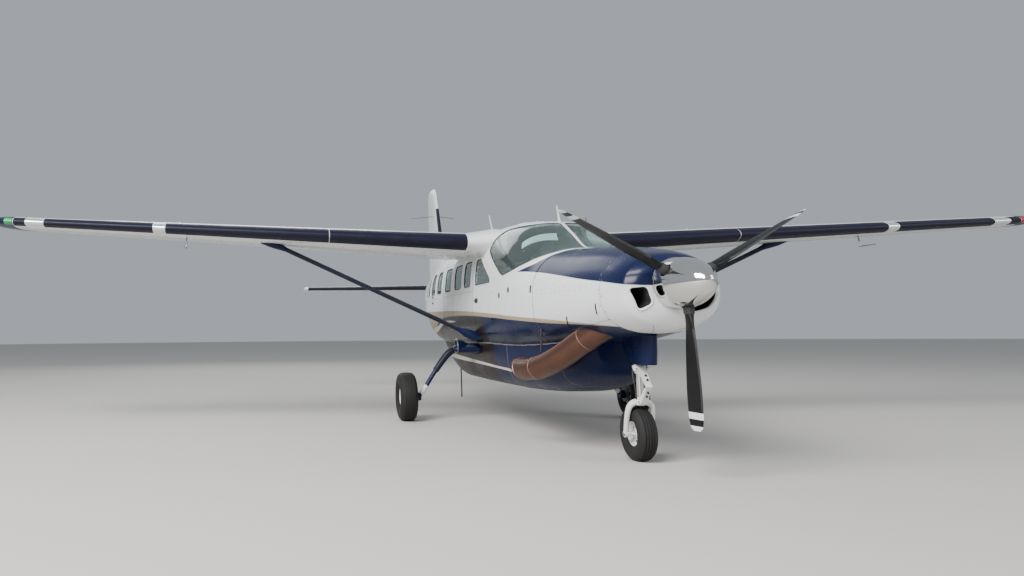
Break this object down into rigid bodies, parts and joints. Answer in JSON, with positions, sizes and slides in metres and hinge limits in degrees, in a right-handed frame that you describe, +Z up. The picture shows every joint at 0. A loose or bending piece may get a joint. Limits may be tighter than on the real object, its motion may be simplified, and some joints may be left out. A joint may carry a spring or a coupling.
{
  "type": "single-engine turboprop aircraft",
  "caption": "High-wing single-engine turboprop utility aircraft on fixed tricycle gear, with braced wings, hollow cabin, belly pod and working doors, control surfaces, wheels and propeller.",
  "frame": {"origin": "on the ground under the middle of the overall length and span", "axes": "nose along -Y, tail along +Y, left wing along +X, up along +Z"},
  "size_m": [15.87, 12.6798, 4.71],
  "materials": {
    "white": "gloss white paint over aluminium",
    "navy": "gloss navy paint over aluminium",
    "chrome": "polished",
    "black": "satin black paint",
    "rubber": "matt black rubber",
    "copper": "heat-browned steel",
    "glass": "green-tinted acrylic",
    "engine": "plain grey block standing for the engine",
    "grey": "primed aluminium",
    "cloth": "woven seat covers"
  },
  "bodies": {
    "airframe": {"belly_panel": "navy", "roof_panel": "white", "side_panel_left": "white", "side_panel_right": "white", "windscreen_left": "glass", "windscreen_right": "glass", "nose_bowl": "white", "upper_cowl": "navy", "lower_cowl": "white", "engine": "engine", "firewall": "grey", "exhaust_stack": "copper", "tailcone": "white", "aft_bulkhead": "grey", "tail_stand": "black", "wing_left": "white", "wing_right": "white", "wing_strut_left": "black", "wing_strut_right": "black", "tailplane_left": "white", "tailplane_right": "white", "fin": "white", "nose_strut": "white", "nose_gear_fairing": "navy", "main_gear_leg_left": "navy", "main_gear_leg_right": "navy", "cargo_pod": "navy", "cabin_floor": "grey", "instrument_panel": "black", "crew_seat_left": "cloth", "crew_seat_right": "cloth", "passenger_seats_left": "cloth", "passenger_seats_right": "cloth"},
    "propeller_unit": {"propeller": "black", "spinner": "chrome"},
    "nose_steering": {"nose_fork": "white"},
    "nose_wheel": {"nose_rim": "white", "nose_tyre": "rubber"},
    "main_wheel_left": {"main_rim_left": "white", "main_tyre_left": "rubber"},
    "crew_door_left": {"crew_door_left": "white"},
    "flap_left": {"flap_left": "white"},
    "aileron_left": {"aileron_left": "white"},
    "elevator_left": {"elevator_left": "white"},
    "main_wheel_right": {"main_rim_right": "white", "main_tyre_right": "rubber"},
    "crew_door_right": {"crew_door_right": "white"},
    "flap_right": {"flap_right": "white"},
    "aileron_right": {"aileron_right": "white"},
    "elevator_right": {"elevator_right": "white"},
    "rudder": {"rudder": "white"},
    "cargo_door_lower": {"cargo_door_lower": "navy"},
    "cargo_door_upper": {"cargo_door_upper": "white"},
    "airstair_door_upper": {"airstair_door_upper": "white"},
    "airstair_door_lower": {"airstair_door_lower": "navy"},
    "pod_door_forward": {"pod_door_forward": "navy"},
    "pod_door_middle": {"pod_door_middle": "navy"},
    "pod_door_aft": {"pod_door_aft": "navy"}
  },
  "joints": [
    {"name": "propeller_spin", "type": "hinge", "parent": "airframe", "child": "propeller_unit", "pos_m": [0, -5.94, 1.79], "axis": [0, 1, 0], "continuous": true},
    {"name": "nose_steer", "type": "hinge", "parent": "airframe", "child": "nose_steering", "pos_m": [0, -4.84, 0.9], "axis": [0, 0, 1], "range_deg": [-50, 50]},
    {"name": "nose_wheel_spin", "type": "hinge", "parent": "nose_steering", "child": "nose_wheel", "pos_m": [0, -4.74, 0.27655], "axis": [1, 0, 0], "continuous": true},
    {"name": "main_wheel_spin_left", "type": "hinge", "parent": "airframe", "child": "main_wheel_left", "pos_m": [1.78, -0.69, 0.36347], "axis": [1, 0, 0], "continuous": true},
    {"name": "crew_door_hinge_left", "type": "hinge", "parent": "airframe", "child": "crew_door_left", "pos_m": [0.851, -2.324, 1.7], "axis": [0, 0, -1], "range_deg": [0, 85]},
    {"name": "flap_hinge_left", "type": "hinge", "parent": "airframe", "child": "flap_left", "pos_m": [3.12, -0.54417, 2.72486], "axis": [-0.9976, 0.0305, -0.0629], "range_deg": [0, 30]},
    {"name": "aileron_hinge_left", "type": "hinge", "parent": "airframe", "child": "aileron_left", "pos_m": [6.33, -0.60085, 2.92101], "axis": [-0.9977, 0.0338, -0.0594], "range_deg": [-20, 20]},
    {"name": "elevator_hinge_left", "type": "hinge", "parent": "airframe", "child": "elevator_left", "pos_m": [1.69, 5.5542, 2.335], "axis": [-1, -0.0063, 0], "range_deg": [-25, 20]},
    {"name": "main_wheel_spin_right", "type": "hinge", "parent": "airframe", "child": "main_wheel_right", "pos_m": [-1.78, -0.69, 0.36347], "axis": [1, 0, 0], "continuous": true},
    {"name": "crew_door_hinge_right", "type": "hinge", "parent": "airframe", "child": "crew_door_right", "pos_m": [-0.851, -2.324, 1.7], "axis": [0, 0, 1], "range_deg": [0, 85]},
    {"name": "flap_hinge_right", "type": "hinge", "parent": "airframe", "child": "flap_right", "pos_m": [-3.12, -0.54417, 2.72486], "axis": [-0.9976, -0.0305, 0.0629], "range_deg": [0, 30]},
    {"name": "aileron_hinge_right", "type": "hinge", "parent": "airframe", "child": "aileron_right", "pos_m": [-6.33, -0.60085, 2.92101], "axis": [-0.9977, -0.0338, 0.0594], "range_deg": [-20, 20]},
    {"name": "elevator_hinge_right", "type": "hinge", "parent": "airframe", "child": "elevator_right", "pos_m": [-1.69, 5.5542, 2.335], "axis": [-1, 0.0063, 0], "range_deg": [-25, 20]},
    {"name": "rudder_hinge", "type": "hinge", "parent": "airframe", "child": "rudder", "pos_m": [0, 5.905, 3.355], "axis": [0, 0.0456, 0.999], "range_deg": [-25, 25]},
    {"name": "cargo_door_lower_hinge", "type": "hinge", "parent": "airframe", "child": "cargo_door_lower", "pos_m": [0.85, 0.896, 1.64], "axis": [0, 0, -1], "range_deg": [0, 175]},
    {"name": "cargo_door_upper_hinge", "type": "hinge", "parent": "airframe", "child": "cargo_door_upper", "pos_m": [0.70905, 1.535, 2.514], "axis": [0.0572, -0.9984, 0], "range_deg": [0, 110]},
    {"name": "airstair_door_upper_hinge", "type": "hinge", "parent": "airframe", "child": "airstair_door_upper", "pos_m": [-0.69725, 1.85, 2.514], "axis": [0.076, 0.9971, 0], "range_deg": [0, 110]},
    {"name": "airstair_door_lower_hinge", "type": "hinge", "parent": "airframe", "child": "airstair_door_lower", "pos_m": [-0.7638, 1.85, 1.326], "axis": [-0.0902, -0.9959, 0], "range_deg": [0, 130]},
    {"name": "pod_door_forward_hinge", "type": "hinge", "parent": "airframe", "child": "pod_door_forward", "pos_m": [0.5341, -2.81, 0.696], "axis": [0.0901, 0.9959, 0], "range_deg": [0, 110]},
    {"name": "pod_door_middle_hinge", "type": "hinge", "parent": "airframe", "child": "pod_door_middle", "pos_m": [0.58955, -1.65, 0.696], "axis": [0.0181, 0.9998, 0], "range_deg": [0, 110]},
    {"name": "pod_door_aft_hinge", "type": "hinge", "parent": "airframe", "child": "pod_door_aft", "pos_m": [0.596, 0.17, 0.696], "axis": [-0.0033, 1, 0], "range_deg": [0, 110]}
  ],
  "couplings": [
    {"joint": "flap_hinge_right", "follows": "flap_hinge_left", "ratio": 1},
    {"joint": "aileron_hinge_right", "follows": "aileron_hinge_left", "ratio": -1},
    {"joint": "elevator_hinge_right", "follows": "elevator_hinge_left", "ratio": 1}
  ]
}
